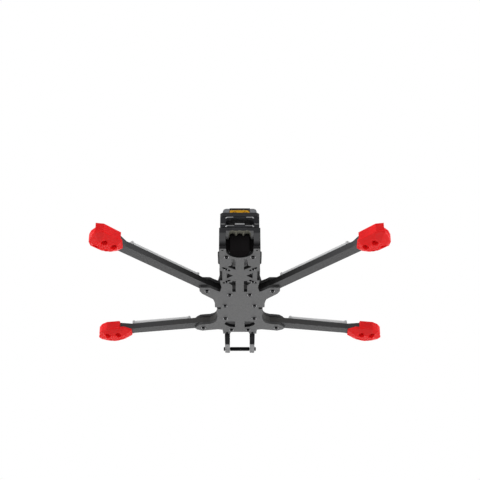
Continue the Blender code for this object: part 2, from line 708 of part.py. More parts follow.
def gate_outline():
    """Rear bumper seen from behind: legs, stepped opening and three cable grooves."""
    low = BOTTOM_HIGH + GAP
    step = BOTTOM_LOW + GATE_STEP
    ceiling = BOTTOM_LOW + GATE_CEILING
    top = BOTTOM_LOW + BUMPER_TOP
    left = [
        (-BODY_HALF, top), (-BODY_HALF, low), (-GATE_LOW_HALF, low), (-GATE_LOW_HALF, step),
        (-GATE_HIGH_HALF, step), (-GATE_HIGH_HALF, ceiling),
    ]
    roof = []
    for middle in (-GROOVE_PITCH, 0.0, GROOVE_PITCH):
        for i in range(7):
            angle = math.radians(180 - i * 30)
            rise = GROOVE_RADIUS * math.sin(angle)
            roof.append((middle + GROOVE_RADIUS * math.cos(angle), ceiling + rise))
    return left + roof + mirror(left)


def bumper():
    shape = bmesh.new()
    prism(shape, gate_outline(), BODY_REAR, BODY_REAR + BUMPER_DEPTH)
    finish("rear_bumper", shape, "carbon", STAND_Y)


def cable_boot():
    """Black boot standing in the tail notch, with three cables on its back."""
    low = BOTTOM_LOW + BOOT_LIFT
    ceiling = BOTTOM_LOW + GATE_CEILING - GAP
    plan = [(-BOOT_HALF, BODY_REAR + BOOT_SETBACK), (BOOT_HALF, BODY_REAR + BOOT_SETBACK)]
    round_y = BODY_REAR + BOOT_ROUND_START
    for i in range(9):
        angle = math.radians(i * 22.5)
        plan.append((BOOT_HALF * math.cos(angle), round_y + BOOT_HALF * math.sin(angle)))
    shape = bmesh.new()
    prism(shape, plan, low, ceiling)
    boot = finish("cable_boot", shape, "black")
    flange = bmesh.new()
    flange_y = BODY_REAR + BUMPER_DEPTH + GAP
    plan = box(FLANGE_HALF, flange_y, flange_y + FLANGE_THICK)
    prism(flange, plan, BOTTOM_HIGH + GAP, BOTTOM_LOW + FLANGE_TOP)
    carve(boot, flange, "UNION")
    for middle in (-GROOVE_PITCH, 0.0, GROOVE_PITCH):
        cable = bmesh.new()
        radius = GROOVE_RADIUS - GAP
        spot = ring(radius, 14, 0.0, middle, ceiling)
        prism(cable, spot, BODY_REAR + CABLE_START, BODY_REAR + CABLE_END)
        bmesh.ops.transform(cable, matrix=STAND_Y, verts=cable.verts)
        carve(boot, cable, "UNION")


def window_frame():
    """Rear frame between the bumper and the top plate, with a bump on its sill."""
    frame_low = BOTTOM_LOW + BUMPER_TOP + GAP
    frame_top = TOP_LOW - GAP
    shape = bmesh.new()
    prism(shape, box(UPPER_HALF, frame_low, frame_top), BODY_REAR, BODY_REAR + FRAME_DEPTH)
    frame = finish("rear_frame", shape, "carbon", STAND_Y)
    sill = frame_low + SILL
    crest = sill + BUMP_HEIGHT
    lintel = sill + WINDOW_HEIGHT
    foot_half, crest_half = BUMP_HALF
    tool = bmesh.new()
    window = [
        (-WINDOW_HALF, sill), (-foot_half, sill), (-crest_half, crest), (crest_half, crest),
        (foot_half, sill), (WINDOW_HALF, sill), (WINDOW_TIP, sill + WINDOW_CORNER),
        (WINDOW_TIP, lintel - WINDOW_CORNER), (WINDOW_CROWN, lintel), (-WINDOW_CROWN, lintel),
        (-WINDOW_TIP, lintel - WINDOW_CORNER), (-WINDOW_TIP, sill + WINDOW_CORNER),
    ]
    prism(tool, window, BODY_REAR - CUT, BODY_REAR + FRAME_DEPTH + CUT)
    bmesh.ops.transform(tool, matrix=STAND_Y, verts=tool.verts)
    carve(frame, tool)


def power_socket():
    """Amber socket and its black holder on the top plate."""
    base = TOP_HIGH + GAP
    pocket_low = base + HOLDER_FLOOR
    pocket_high = pocket_low + PLUG_HEIGHT + 2 * GAP
    holder_y = BODY_REAR + HOLDER_SETBACK
    back = holder_y + HOLDER_WALL + PLUG_DEPTH
    shape = bmesh.new()
    prism(shape, box(HOLDER_HALF, base, pocket_high + HOLDER_WALL), holder_y, back)
    edges = [e for e in shape.edges if all(v.co.y > base + CUT for v in e.verts)]
    edges = [e for e in edges if abs(e.verts[0].co.x - e.verts[1].co.x) < CUT]
    bmesh.ops.bevel(
        shape, geom=edges, offset=HOLDER_ROUNDING, segments=2, affect="EDGES", profile=0.5, material=-1)
    holder = finish("socket_holder", shape, "black", STAND_Y)
    tool = bmesh.new()
    half = SOCKET_HALF + GAP
    prism(tool, box(half, pocket_low, pocket_high), holder_y - CUT, back - HOLDER_WALL)
    bmesh.ops.transform(tool, matrix=STAND_Y, verts=tool.verts)
    carve(holder, tool)
    for hand, x, y in both_sides(TAIL):
        peg = bmesh.new()
        prism(peg, ring(BOLT_RADIUS, 12, 0.0, x, y), TOP_LOW - PEG_LENGTH, base + HOLDER_WALL / 2)
        carve(holder, peg, "UNION")
    shape = bmesh.new()
    plug_low = pocket_low + GAP
    plug_high = plug_low + PLUG_HEIGHT
    plug = [
        (-SOCKET_HALF, plug_low), (SOCKET_HALF, plug_low), (SOCKET_HALF, plug_high - PLUG_CHAMFER),
        (SOCKET_HALF - PLUG_CHAMFER, plug_high), (-SOCKET_HALF, plug_high),
    ]
    prism(shape, plug, holder_y, back - HOLDER_WALL - GAP)
    socket = finish("power_socket", shape, "amber", STAND_Y)
    tool = bmesh.new()
    centre = (plug_low + plug_high) / 2
    for x in (-CONTACT_X, CONTACT_X):
        prism(tool, ring(CONTACT_RADIUS, 14, 0.0, x, centre), holder_y - CUT, holder_y + CONTACT_DEPTH)
    bmesh.ops.transform(tool, matrix=STAND_Y, verts=tool.verts)
    carve(socket, tool)


def cage_profile():
    """Camera side plate in side view: y and z."""
    start = STACK_Y + CAGE_START
    low = BOTTOM_HIGH + GAP
    high = TOP_LOW - GAP
    bar_z = BOTTOM_LOW + CROSSBAR_UP
    chin = bar_z - CAGE_NOSE_RADIUS
    radius = CAGE_NOSE_RADIUS
    nose = []
    for i in range(10):
        angle = math.radians(-90 + i * 16)
        nose.append((CROSSBAR_Y + radius * math.cos(angle), bar_z + radius * math.sin(angle)))
    return [
        (start, low), (STACK_Y + CAGE_CHIN[0], low), (STACK_Y + CAGE_CHIN[1], chin + CAGE_CHIN_STEP),
        (STACK_Y + CAGE_CHIN[2], chin),
    ] + nose + [
        (CROSSBAR_Y - CAGE_BROW[0], bar_z + CAGE_BROW[1]),
        (CROSSBAR_Y - CAGE_SLOPE[0], high - CAGE_SLOPE[1]),
        (CROSSBAR_Y - CAGE_CROWN, high), (start, high),
    ]


def camera_cage():
    bar_z = BOTTOM_LOW + CROSSBAR_UP
    for hand, flip in (("left", -1), ("right", 1)):
        shape = bmesh.new()
        prism(shape, cage_profile(), CAGE_INNER, CAGE_INNER + CAGE_THICK)
        place = Matrix.Diagonal((flip, 1, 1, 1)) @ STAND_X
        plate = finish("camera_plate_" + hand, shape, "alloy", place)
        tab = bmesh.new()
        middle = CAGE_INNER + CAGE_THICK / 2
        tab_y = STACK_Y + CAGE_START
        tab_low = BOTTOM_LOW + TAB_LIFT
        tab_high = BOTTOM_HIGH + TAB_ROOT
        tab_end = tab_y + TAB_LENGTH
        tab_box = [(tab_y, tab_low), (tab_end, tab_low), (tab_end, tab_high), (tab_y, tab_high)]
        prism(tab, tab_box, middle - CAGE_TAB / 2, middle + CAGE_TAB / 2)
        bmesh.ops.transform(tab, matrix=place, verts=tab.verts)
        carve(plate, tab, "UNION")
        tool = bmesh.new()
        near = CAGE_INNER - CUT
        far = CAGE_INNER + CAGE_THICK + CUT
        prism(tool, ring(CROSSBAR_BORE, 12, 0.0, CROSSBAR_Y, bar_z), near, far)
        tilt_hole = ring(TILT_HOLE_RADIUS, 20, 0.0, STACK_Y + TILT_HOLE_Y, BOTTOM_LOW + TILT_HOLE_UP)
        prism(tool, tilt_hole, near, far)
        bmesh.ops.transform(tool, matrix=place, verts=tool.verts)
        carve(plate, tool)
        screw = bmesh.new()
        outer = CAGE_INNER + CAGE_THICK + GAP
        levels = [
            (CAGE_INNER - GAP - END_SCREW_REACH, END_SCREW_RADIUS), (outer, END_SCREW_RADIUS),
            (outer, END_SCREW_HEAD), (outer + END_SCREW_RIM, END_SCREW_HEAD),
            (outer + END_SCREW_HEIGHT, END_SCREW_HEAD * END_SCREW_DOME),
        ]
        rows = []
        for level, radius in levels:
            spots = ring(radius, 12, 0.0, CROSSBAR_Y, bar_z)
            rows.append([screw.verts.new((py, pz, level)) for py, pz in spots])
        stack_rows(screw, rows)
        finish("cage_screw_" + hand, screw, "steel", place)
    shape = bmesh.new()
    reach = CAGE_INNER - GAP
    prism(shape, ring(CROSSBAR_RADIUS, 16, 0.0, CROSSBAR_Y, bar_z), -reach, reach)
    bar = finish("cage_crossbar", shape, "black", STAND_X)
    tool = bmesh.new()
    prism(tool, ring(CROSSBAR_BORE, 12, 0.0, CROSSBAR_Y, bar_z), -reach - CUT, reach + CUT)
    bmesh.ops.transform(tool, matrix=STAND_X, verts=tool.verts)
    carve(bar, tool)


bottom_plate()
mid_plate()
top_plate()
for end_name in ("rear", "front"):
    for hand_name in ("left", "right"):
        arm(end_name, hand_name)
        foot(end_name, hand_name)
        led_bar(end_name, hand_name)
fasteners()
bumper()
cable_boot()
window_frame()
power_socket()
camera_cage()
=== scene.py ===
# Bare quadcopter airframe seen from under its tail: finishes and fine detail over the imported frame
import math

import bmesh
import bpy
from mathutils import Matrix, Vector


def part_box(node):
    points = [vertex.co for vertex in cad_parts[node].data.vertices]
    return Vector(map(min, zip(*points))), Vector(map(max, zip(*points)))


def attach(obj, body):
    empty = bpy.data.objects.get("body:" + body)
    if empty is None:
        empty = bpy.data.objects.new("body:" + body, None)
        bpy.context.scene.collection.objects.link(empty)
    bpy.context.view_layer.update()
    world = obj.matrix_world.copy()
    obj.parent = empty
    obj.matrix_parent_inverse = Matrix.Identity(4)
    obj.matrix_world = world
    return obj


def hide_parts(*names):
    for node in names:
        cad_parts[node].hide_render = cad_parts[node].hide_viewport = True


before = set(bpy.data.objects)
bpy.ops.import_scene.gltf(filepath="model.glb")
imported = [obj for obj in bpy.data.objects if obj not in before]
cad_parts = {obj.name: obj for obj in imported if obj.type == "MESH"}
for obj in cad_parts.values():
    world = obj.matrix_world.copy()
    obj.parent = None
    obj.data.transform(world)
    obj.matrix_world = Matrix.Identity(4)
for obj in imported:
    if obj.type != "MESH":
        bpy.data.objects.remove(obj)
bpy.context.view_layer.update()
scene = bpy.context.scene
print("frame loaded:", len(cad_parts), "nodes")

hands = {"left": -1, "right": 1}
corners = [(end, hand) for end in ("rear", "front") for hand in ("left", "right")]

# where each arm carries its motor, and the way it points on the left side
armLines = {
    "rear": {"x": 0.1255, "y": -0.113755, "sweep": math.radians(226.5)},
    "front": {"x": 0.1370, "y": 0.089445, "sweep": math.radians(169.2)},
}


def armPlace(end, hand):
    line = armLines[end]
    place = Matrix.Translation((-line["x"], line["y"], 0)) @ Matrix.Rotation(line["sweep"], 4, "Z")
    if hand == "right":
        return Matrix.Diagonal((-1, 1, 1, 1)) @ place
    return place


# shader helpers
def newGroup(name, inputs, outputs):
    group = bpy.data.node_groups.new(name, "ShaderNodeTree")
    for label, kind, value in inputs:
        socket = group.interface.new_socket(name=label, in_out="INPUT", socket_type=kind)
        if value is not None:
            socket.default_value = value
    for label, kind in outputs:
        group.interface.new_socket(name=label, in_out="OUTPUT", socket_type=kind)
    return group, group.nodes.new("NodeGroupInput"), group.nodes.new("NodeGroupOutput")


def link(tree, source, target):
    tree.links.new(source, target)


def math1(tree, operation, first, second=None, third=None):
    node = tree.nodes.new("ShaderNodeMath")
    node.operation = operation
    for socket, value in zip(node.inputs, (first, second, third)):
        if value is None:
            continue
        if isinstance(value, (int, float)):
            socket.default_value = value
        else:
            link(tree, value, socket)
    return node.outputs[0]


def noise(tree, vector, scale, detail=2.0, rough=0.5):
    node = tree.nodes.new("ShaderNodeTexNoise")
    node.inputs["Scale"].default_value = scale
    node.inputs["Detail"].default_value = detail
    node.inputs["Roughness"].default_value = rough
    link(tree, vector, node.inputs["Vector"])
    return node.outputs["Fac"]


# two by two twill: which way the top fibres run, and how they rise between their neighbours
def makeTwill():
    group, given, out = newGroup(
        "twill", [("Vector", "NodeSocketVector", None), ("Tow", "NodeSocketFloat", 0.0018)],
        [("Warp", "NodeSocketFloat"), ("Height", "NodeSocketFloat")])
    split = group.nodes.new("ShaderNodeSeparateXYZ")
    link(group, given.outputs["Vector"], split.inputs[0])
    along = math1(group, "DIVIDE", split.outputs["X"], given.outputs["Tow"])
    across = math1(group, "DIVIDE", split.outputs["Y"], given.outputs["Tow"])
    step = math1(group, "ADD", math1(group, "FLOOR", along), math1(group, "FLOOR", across))
    step = math1(group, "FLOORED_MODULO", step, 4.0)
    warp = math1(group, "LESS_THAN", step, 1.5)
    warpRise = math1(group, "ABSOLUTE", math1(group, "SINE", math1(group, "MULTIPLY", along, math.pi)))
    weftRise = math1(group, "ABSOLUTE", math1(group, "SINE", math1(group, "MULTIPLY", across, math.pi)))
    height = math1(group, "MULTIPLY", warpRise, warp)
    height = math1(group, "MULTIPLY_ADD", weftRise, math1(group, "SUBTRACT", 1.0, warp), height)
    link(group, warp, out.inputs["Warp"])
    link(group, height, out.inputs["Height"])
    return group


# cut edges of a laminate: masks for upright and downward faces, and the thin lines between plies
plySettings = {"thick": 0.0003, "facing": 0.55, "frayScale": 900.0, "fray": 0.5}


def makePlies():
    group, given, out = newGroup(
        "plies", [("Vector", "NodeSocketVector", None), ("Normal", "NodeSocketVector", None),
                  ("Ply", "NodeSocketFloat", plySettings["thick"])],
        [("Edge", "NodeSocketFloat"), ("Under", "NodeSocketFloat"), ("Line", "NodeSocketFloat")])
    split = group.nodes.new("ShaderNodeSeparateXYZ")
    link(group, given.outputs["Vector"], split.inputs[0])
    facing = group.nodes.new("ShaderNodeSeparateXYZ")
    link(group, given.outputs["Normal"], facing.inputs[0])
    edge = math1(group, "LESS_THAN", math1(group, "ABSOLUTE", facing.outputs["Z"]), plySettings["facing"])
    under = math1(group, "LESS_THAN", facing.outputs["Z"], -plySettings["facing"])
    level = math1(group, "DIVIDE", split.outputs["Z"], given.outputs["Ply"])
    line = math1(group, "PINGPONG", level, 1.0)
    fray = noise(group, given.outputs["Vector"], plySettings["frayScale"], 3.0)
    line = math1(group, "MULTIPLY_ADD", fray, plySettings["fray"], line)
    link(group, edge, out.inputs["Edge"])
    link(group, under, out.inputs["Under"])
    link(group, line, out.inputs["Line"])
    return group


# soft cloudy change of tone and a fine tooth, for moulded, coated and machined surfaces
# each has its scale and its detail
grainSettings = {"Cloud": (60.0, 3.0), "Fleck": (620.0, 1.0), "Tooth": (2600.0, 2.0)}


def makeGrain():
    group, given, out = newGroup(
        "grain", [("Vector", "NodeSocketVector", None)],
        [(label, "NodeSocketFloat") for label in grainSettings])
    for label, (scale, detail) in grainSettings.items():
        link(group, noise(group, given.outputs["Vector"], scale, detail), out.inputs[label])
    return group


# printed layers stacked along the height of the part
layerSettings = {"thick": 0.0003, "wobbleScale": 120.0, "wobble": 0.6}


def makeLayers():
    group, given, out = newGroup(
        "layers", [("Vector", "NodeSocketVector", None),
                   ("Layer", "NodeSocketFloat", layerSettings["thick"])],
        [("Ridge", "NodeSocketFloat")])
    split = group.nodes.new("ShaderNodeSeparateXYZ")
    link(group, given.outputs["Vector"], split.inputs[0])
    wobble = noise(group, given.outputs["Vector"], layerSettings["wobbleScale"], 2.0)
    level = math1(group, "DIVIDE", split.outputs["Z"], given.outputs["Layer"])
    level = math1(group, "MULTIPLY_ADD", wobble, layerSettings["wobble"], level)
    ridge = math1(group, "ABSOLUTE", math1(group, "SINE", math1(group, "MULTIPLY", level, math.pi)))
    link(group, ridge, out.inputs["Ridge"])
    return group


twill = makeTwill()
plies = makePlies()
grain = makeGrain()
layers = makeLayers()


def startMaterial(name, rough, metal, specular):
    made = bpy.data.materials.new(name)
    made.use_nodes = True
    tree = made.node_tree
    shader = tree.nodes["Principled BSDF"]
    shader.inputs["Roughness"].default_value = rough
    shader.inputs["Metallic"].default_value = metal
    shader.inputs["Specular IOR Level"].default_value = specular
    place = tree.nodes.new("ShaderNodeTexCoord")
    return made, tree, shader, place


# depth of each kind of relief, and how far roughness strays to either side
reliefSettings = {"weave": 0.00005, "tooth": 0.00003, "layer": 0.00004}
roughStray = {"grain": 0.07, "print": 0.06, "screw": 0.06}


def useGroup(tree, group, place, values=None):
    node = tree.nodes.new("ShaderNodeGroup")
    node.node_tree = group
    link(tree, place.outputs["Object"], node.inputs["Vector"])
    if "Normal" in node.inputs:
        link(tree, place.outputs["Normal"], node.inputs["Normal"])
    for label, value in (values or {}).items():
        node.inputs[label].default_value = value
    return node


def blendColours(tree, factor, first, second):
    node = tree.nodes.new("ShaderNodeMix")
    node.data_type = "RGBA"
    link(tree, factor, node.inputs["Factor"])
    for socket, colour in ((node.inputs["A"], first), (node.inputs["B"], second)):
        if isinstance(colour, tuple):
            socket.default_value = colour + (1.0,)
        else:
            link(tree, colour, socket)
    return node.outputs["Result"]


def spread(tree, value, low, high, fromLow=0.3, fromHigh=0.7):
    node = tree.nodes.new("ShaderNodeMapRange")
    node.inputs["From Min"].default_value = fromLow
    node.inputs["From Max"].default_value = fromHigh
    node.inputs["To Min"].default_value = low
    node.inputs["To Max"].default_value = high
    link(tree, value, node.inputs["Value"])
    return node.outputs["Result"]


def bump(tree, shader, height, distance, strength):
    node = tree.nodes.new("ShaderNodeBump")
    node.inputs["Distance"].default_value = distance
    node.inputs["Strength"].default_value = strength
    link(tree, height, node.inputs["Height"])
    link(tree, node.outputs["Normal"], shader.inputs["Normal"])


def varyRoughness(tree, shader, tone, middle, stray):
    rough = spread(tree, tone.outputs["Tooth"], middle - stray, middle + stray)
    link(tree, rough, shader.inputs["Roughness"])


# woven laminate: rough is the range over its tooth, mottle how much of the fleck shows
laminateSettings = {"rough": (0.46, 0.62), "mottle": (0.45, 0.9)}


def carbonFinish(name, settings):
    made, tree, shader, place = startMaterial(name, 0.5, 0.0, settings["specular"])
    weave = useGroup(tree, twill, place, {"Tow": settings["tow"]})
    sides = useGroup(tree, plies, place)
    tone = useGroup(tree, grain, place)
    split = tree.nodes.new("ShaderNodeSeparateXYZ")
    link(tree, place.outputs["Object"], split.inputs[0])
    reach = math1(tree, "ABSOLUTE", split.outputs["X"])
    # weft and warp tones differ a little: painted sheen, the brightness the fibres' direction gives them
    # under light
    face = blendColours(tree, weave.outputs["Warp"], settings["weft"], settings["warp"])
    fleck = blendColours(tree, spread(tree, tone.outputs["Fleck"], 0.0, 1.0), settings["fleckDark"],
                         settings["fleckLight"])
    face = blendColours(tree, spread(tree, tone.outputs["Cloud"], *laminateSettings["mottle"]), face, fleck)
    cut = blendColours(tree, sides.outputs["Line"], settings["edgeDark"], settings["edgeLight"])
    # downward faces take the under colour: painted light, pale across the middle ahead of the tail, and
    # painted shade, near black towards the tail and the sides
    if "under" in settings:
        ahead = spread(tree, split.outputs["Y"], 0.0, 1.0, *settings["underRange"])
        lower = blendColours(tree, ahead, settings["underTail"], settings["under"])
        middle = math1(tree, "LESS_THAN", reach, settings["underX"])
        lower = blendColours(tree, middle, settings["underTail"], lower)
        face = blendColours(tree, sides.outputs["Under"], face, lower)
    # a dark patch on the outer rear of the plate: painted shade
    if "flare" in settings:
        out = math1(tree, "GREATER_THAN", reach, settings["flareX"])
        rear = math1(tree, "LESS_THAN", split.outputs["Y"], settings["flareY"])
        face = blendColours(tree, math1(tree, "MULTIPLY", out, rear), face, settings["flare"])
    # the arm's downward faces inside each foot are painted red: painted red light from the foot
    if "pad" in settings:
        covered = math1(tree, "GREATER_THAN", reach, settings["padX"])
        covered = math1(tree, "MULTIPLY", covered, sides.outputs["Under"])
        face = blendColours(tree, covered, face, settings["pad"])
    # cut edges near the middle take a painted shade tone: dark on the belly and rear arms, mid grey on the
    # front arms
    if "hubEdge" in settings:
        away = spread(tree, reach, 0.0, 1.0, *settings["hubRange"])
        cut = blendColours(tree, away, settings["hubEdge"], cut)
    # arm edges close to the middle are pale: painted light
    if "coreEdge" in settings:
        core = math1(tree, "LESS_THAN", reach, settings["coreX"])
        cut = blendColours(tree, core, cut, settings["coreEdge"])
    link(tree, blendColours(tree, sides.outputs["Edge"], face, cut), shader.inputs["Base Color"])
    link(tree, spread(tree, tone.outputs["Tooth"], *laminateSettings["rough"]), shader.inputs["Roughness"])
    bump(tree, shader, weave.outputs["Height"], reliefSettings["weave"], settings["weave"])
    return made


def grainFinish(name, settings):
    made, tree, shader, place = startMaterial(
        name, settings["rough"], settings["metal"], settings["specular"])
    tone = useGroup(tree, grain, place)
    cloud = spread(tree, tone.outputs["Cloud"], 0.0, 1.0)
    link(tree, blendColours(tree, cloud, settings["dark"], settings["light"]), shader.inputs["Base Color"])
    varyRoughness(tree, shader, tone, settings["rough"], roughStray["grain"])
    bump(tree, shader, tone.outputs["Tooth"], reliefSettings["tooth"], settings["tooth"])
    return made


# printed plastic: groove is its share of colour, a painted shade in the grooves between layers, and how high
# the ridge hides it, red light spreads inside it
printSettings = {
    "groove": (0.35, 0.6), "relief": 0.12, "glowRadius": (1.0, 0.08, 0.08), "glowScale": 0.004,
}


def printFinish(name, settings):
    made, tree, shader, place = startMaterial(name, settings["rough"], 0.0, settings["specular"])
    rows = useGroup(tree, layers, place, {"Layer": settings["layer"]})
    tone = useGroup(tree, grain, place)
    cloud = spread(tree, tone.outputs["Cloud"], 0.0, 1.0)
    colour = blendColours(tree, cloud, settings["dark"], settings["light"])
    # the grooves between layers take the groove colour: painted shade
    share, ridgeTop = printSettings["groove"]
    groove = spread(tree, rows.outputs["Ridge"], share, 0.0, 0.0, ridgeTop)
    colour = blendColours(tree, groove, colour, settings["groove"])
    # downward faces take the under colour, darker than the rest: painted shade
    if "under" in settings:
        sides = useGroup(tree, plies, place)
        colour = blendColours(tree, sides.outputs["Under"], colour, settings["under"])
    link(tree, colour, shader.inputs["Base Color"])
    varyRoughness(tree, shader, tone, settings["rough"], roughStray["print"])
    bump(tree, shader, rows.outputs["Ridge"], reliefSettings["layer"], printSettings["relief"])
    if "glow" in settings:
        shader.inputs["Subsurface Weight"].default_value = settings["glow"]
        shader.inputs["Subsurface Radius"].default_value = printSettings["glowRadius"]
        shader.inputs["Subsurface Scale"].default_value = printSettings["glowScale"]
    return made


# screw heads: a crown, and a dome that is bright at the sides and dark at front and back, painted reflection
def screwFinish(name, settings):
    made, tree, shader, place = startMaterial(
        name, settings["rough"], settings["metal"], settings["specular"])
    tone = useGroup(tree, grain, place)
    facing = tree.nodes.new("ShaderNodeSeparateXYZ")
    link(tree, place.outputs["Normal"], facing.inputs[0])
    cloud = spread(tree, tone.outputs["Cloud"], 0.0, 1.0)
    crown = blendColours(tree, cloud, settings["crownDark"], settings["crownLight"])
    # bright flanks and near-black front and back of the dome: painted reflection
    sideways = spread(tree, math1(tree, "ABSOLUTE", facing.outputs["X"]), 0.0, 1.0, *settings["flankRange"])
    dome = blendColours(tree, sideways, settings["side"], settings["flank"])
    upright = math1(tree, "LESS_THAN", math1(tree, "ABSOLUTE", facing.outputs["Z"]), settings["domeFrom"])
    link(tree, blendColours(tree, upright, crown, dome), shader.inputs["Base Color"])
    varyRoughness(tree, shader, tone, settings["rough"], roughStray["screw"])
    return made


# bumper's shell: paler flanks that fade upwards and a pale strip over the gate, painted light, and a dark
# foot, painted shade darker towards the bottom
def litFlankFinish(name, settings):
    made, tree, shader, place = startMaterial(name, settings["rough"], 0.0, settings["specular"])
    tone = useGroup(tree, grain, place)
    split = tree.nodes.new("ShaderNodeSeparateXYZ")
    link(tree, place.outputs["Object"], split.inputs[0])
    cloud = spread(tree, tone.outputs["Cloud"], 0.0, 1.0)
    body = blendColours(tree, cloud, settings["dark"], settings["light"])
    reach = math1(tree, "ABSOLUTE", split.outputs["X"])
    # pale flanks that fade upwards: painted light
    flank = spread(tree, reach, 0.0, 1.0, settings["flankFrom"], settings["flankTo"])
    fade = spread(tree, split.outputs["Z"], 1.0, 0.0, settings["fadeFrom"], settings["fadeTo"])
    body = blendColours(tree, math1(tree, "MULTIPLY", flank, fade), body, settings["flank"])
    # pale strip over the gate with an olive middle: painted light
    strip = math1(tree, "LESS_THAN", reach, settings["stripX"])
    for operation, level in (("GREATER_THAN", settings["stripLow"]), ("LESS_THAN", settings["stripHigh"])):
        strip = math1(tree, "MULTIPLY", strip, math1(tree, operation, split.outputs["Z"], level))
    core = spread(tree, reach, 1.0, 0.0, *settings["coreRange"])
    body = blendColours(tree, strip, body, blendColours(tree, core, settings["strip"], settings["core"]))
    # darker towards the bottom: painted shade
    foot = spread(tree, split.outputs["Z"], 1.0, 0.0, settings["footFrom"], settings["footTo"])
    link(tree, blendColours(tree, foot, body, settings["foot"]), shader.inputs["Base Color"])
    bump(tree, shader, tone.outputs["Tooth"], reliefSettings["tooth"], settings["tooth"])
    return made


bellyCarbon = carbonFinish("bellyCarbon", {
    "tow": 0.0018, "specular": 0.06, "weave": 0.012,
    "weft": (0.101, 0.101, 0.102), "warp": (0.104, 0.104, 0.105),
    "fleckDark": (0.090, 0.090, 0.091), "fleckLight": (0.115, 0.115, 0.116),
    "edgeDark": (0.040, 0.040, 0.041), "edgeLight": (0.072, 0.072, 0.073),
    # edges near the middle: painted shade
    "hubEdge": (0.017, 0.017, 0.018), "hubRange": (0.019, 0.024),
    # dark outer rear patch: painted shade
    "flare": (0.022, 0.022, 0.023), "flareX": 0.0194, "flareY": -0.070,
})
midCarbon = carbonFinish("midCarbon", {
    "tow": 0.0018, "specular": 0.06, "weave": 0.012,
    "weft": (0.044, 0.044, 0.045), "warp": (0.047, 0.047, 0.048),
    "fleckDark": (0.038, 0.038, 0.039), "fleckLight": (0.054, 0.054, 0.055),
    "edgeDark": (0.030, 0.030, 0.031), "edgeLight": (0.058, 0.058, 0.059),
})
deckCarbon = carbonFinish("deckCarbon", {
    "tow": 0.0018, "specular": 0.12, "weave": 0.05,
    "weft": (0.130, 0.130, 0.132), "warp": (0.136, 0.136, 0.138),
    "fleckDark": (0.118, 0.118, 0.120), "fleckLight": (0.148, 0.148, 0.150),
    "edgeDark": (0.010, 0.010, 0.011), "edgeLight": (0.030, 0.030, 0.032),
    # downward faces: painted light in the middle, painted shade at the tail and sides
    "under": (0.30, 0.30, 0.303), "underTail": (0.008, 0.008, 0.009),
    "underRange": (-0.050, -0.038), "underX": 0.0091,
})
armSettings = {
    "tow": 0.0018, "specular": 0.05, "weave": 0.03,
    "weft": (0.066, 0.066, 0.067), "warp": (0.070, 0.070, 0.071),
    "fleckDark": (0.060, 0.060, 0.061), "fleckLight": (0.077, 0.077, 0.078),
    "edgeDark": (0.034, 0.034, 0.035), "edgeLight": (0.078, 0.078, 0.080),
    # edges near the hub: painted shade
    "hubEdge": (0.014, 0.014, 0.014), "hubRange": (0.035, 0.095),
    # pale edges near the middle: painted light
    "coreEdge": (0.150, 0.150, 0.152), "coreX": 0.0095, "pad": (0.50, 0.008, 0.009),
}
footRedLightInset = 0.0070  # how far inside its foot the arm's underside is painted red: painted red light from the foot
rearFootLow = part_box("foot_rear_right")[0]
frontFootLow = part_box("foot_front_right")[0]
rearArmCarbon = carbonFinish("rearArmCarbon", {**armSettings, "padX": rearFootLow[0] + footRedLightInset})
# front arms: a lighter painted tone on the cut edges near the hub
frontArmCarbon = carbonFinish("frontArmCarbon", {
    **armSettings, "padX": frontFootLow[0] + footRedLightInset, "hubEdge": (0.064, 0.062, 0.060),
})
# feet: downward faces darker than the sides and top, painted shade
redPrint = printFinish("redPrint", {
    "layer": 0.0003, "rough": 0.55, "specular": 0.06, "glow": 0.4, "under": (0.60, 0.0155, 0.0160),
    "dark": (0.82, 0.017, 0.019), "light": (0.92, 0.023, 0.025), "groove": (0.76, 0.014, 0.016),
})
# boot: downward faces darker than the rest, painted shade
blackPrint = printFinish("blackPrint", {
    "layer": 0.0003, "rough": 0.6, "specular": 0.0, "under": (0.0060, 0.0052, 0.0055),
    "dark": (0.0125, 0.0112, 0.0117), "light": (0.0165, 0.0150, 0.0155), "groove": (0.0100, 0.0090, 0.0094),
})
greyPrint = printFinish("greyPrint", {
    "layer": 0.0003, "rough": 0.55, "specular": 0.15,
    "dark": (0.230, 0.236, 0.250), "light": (0.290, 0.296, 0.312), "groove": (0.180, 0.185, 0.196),
})
palePlastic = grainFinish("palePlastic", {
    "rough": 0.42, "metal": 0.0, "specular": 0.3, "tooth": 0.10,
    "dark": (0.54, 0.545, 0.55), "light": (0.62, 0.625, 0.63),
})
frostedCover = grainFinish("frostedCover", {
    "rough": 0.30, "metal": 0.0, "specular": 0.4, "tooth": 0.06,
    "dark": (0.66, 0.665, 0.67), "light": (0.74, 0.745, 0.75),
})
# pale grey for the window's chamfers and sill pad: painted highlight
chamferGrey = grainFinish("chamferGrey", {
    "rough": 0.5, "metal": 0.0, "specular": 0.1, "tooth": 0.10,
    "dark": (0.32, 0.323, 0.33), "light": (0.38, 0.383, 0.39),
})
blackAlloy = grainFinish("blackAlloy", {
    "rough": 0.50, "metal": 0.0, "specular": 0.04, "tooth": 0.08,
    "dark": (0.003, 0.003, 0.004), "light": (0.009, 0.009, 0.010),
})
cageAlloy = grainFinish("cageAlloy", {
    "rough": 0.50, "metal": 0.0, "specular": 0.0, "tooth": 0.08,
    "dark": (0.012, 0.012, 0.013), "light": (0.019, 0.019, 0.020),
})
noseAlloy = grainFinish("noseAlloy", {
    "rough": 0.45, "metal": 0.0, "specular": 0.2, "tooth": 0.08,
    "dark": (0.115, 0.115, 0.118), "light": (0.145, 0.145, 0.149),
})
